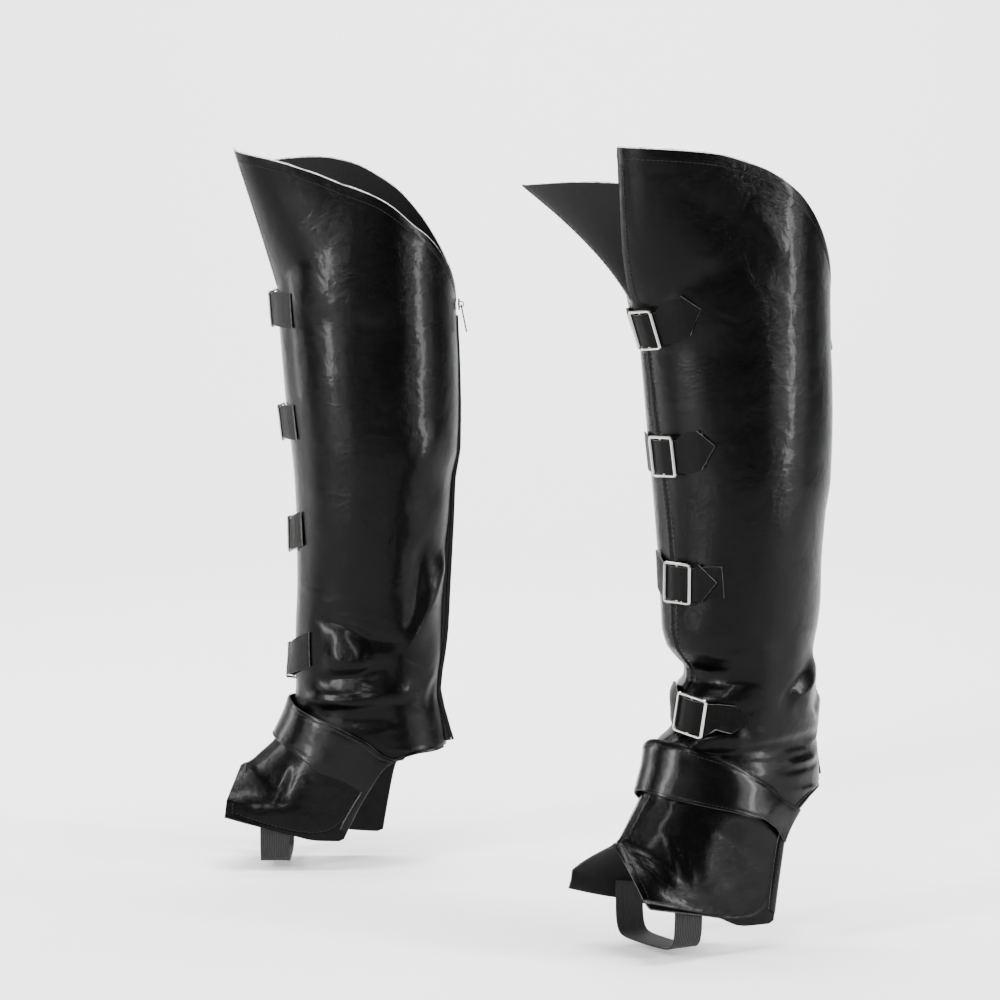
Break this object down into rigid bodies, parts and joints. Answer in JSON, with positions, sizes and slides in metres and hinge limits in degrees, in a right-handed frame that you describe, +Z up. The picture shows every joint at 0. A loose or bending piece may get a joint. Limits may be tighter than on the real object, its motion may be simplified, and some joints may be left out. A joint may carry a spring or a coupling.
{
  "type": "pair of boot covers",
  "caption": "Knee-high leatherette boot covers in a worn, walking pose: flared V-cut tops, side-buckled front straps, back zips, instep straps and short spats with elastic stirrups.",
  "frame": {"origin": "between the two legs that hold the covers, at the height of the calf, 0.38 m above the ground the wearer stands on", "axes": "+Z up, -X the way the wearer faces, +Y away from the viewer of the picture, so the nearer cover is the left one"},
  "size_m": [0.4783, 0.4726, 0.5914],
  "materials": {
    "cover_leatherette": "glossy, lightly pebbled coated leatherette on a black knitted backing",
    "strap_leather": "matte black strap leather with pale cut edges",
    "buckle_nickel": "polished nickel",
    "zip_tape": "woven black tape",
    "zip_teeth": "black moulded chain",
    "zip_metal": "black gunmetal",
    "elastic": "ribbed black elastic webbing"
  },
  "bodies": {
    "covers": {"left_panel_outer": "cover_leatherette", "left_panel_inner": "cover_leatherette", "left_instep_strap": "cover_leatherette", "left_strap_1": "strap_leather", "left_buckle_1": "buckle_nickel", "left_chape_1": "strap_leather", "left_strap_2": "strap_leather", "left_buckle_2": "buckle_nickel", "left_chape_2": "strap_leather", "left_strap_3": "strap_leather", "left_buckle_3": "buckle_nickel", "left_chape_3": "strap_leather", "left_strap_4": "strap_leather", "left_buckle_4": "buckle_nickel", "left_chape_4": "strap_leather", "left_zip_tape_outer": "zip_tape", "left_zip_tape_inner": "zip_tape", "left_zip_chain": "zip_teeth", "left_zip_slider": "zip_metal", "left_stirrup": "elastic", "right_panel_outer": "cover_leatherette", "right_panel_inner": "cover_leatherette", "right_instep_strap": "cover_leatherette", "right_strap_1": "strap_leather", "right_buckle_1": "buckle_nickel", "right_chape_1": "strap_leather", "right_strap_2": "strap_leather", "right_buckle_2": "buckle_nickel", "right_chape_2": "strap_leather", "right_strap_3": "strap_leather", "right_buckle_3": "buckle_nickel", "right_chape_3": "strap_leather", "right_strap_4": "strap_leather", "right_buckle_4": "buckle_nickel", "right_chape_4": "strap_leather", "right_zip_tape_outer": "zip_tape", "right_zip_tape_inner": "zip_tape", "right_zip_chain": "zip_teeth", "right_zip_slider": "zip_metal", "right_stirrup": "elastic"},
    "left_pull": {"left_zip_pull": "zip_metal"},
    "right_pull": {"right_zip_pull": "zip_metal"}
  },
  "joints": [
    {"name": "left_pull_hinge", "type": "hinge", "parent": "covers", "child": "left_pull", "pos_m": [0.20918, -0.1251, 0.0881], "axis": [0.4108, -0.9117, 0], "range_deg": [0, 140]},
    {"name": "right_pull_hinge", "type": "hinge", "parent": "covers", "child": "right_pull", "pos_m": [-0.06826, 0.1555, 0.0881], "axis": [0, -1, 0], "range_deg": [0, 140]}
  ]
}
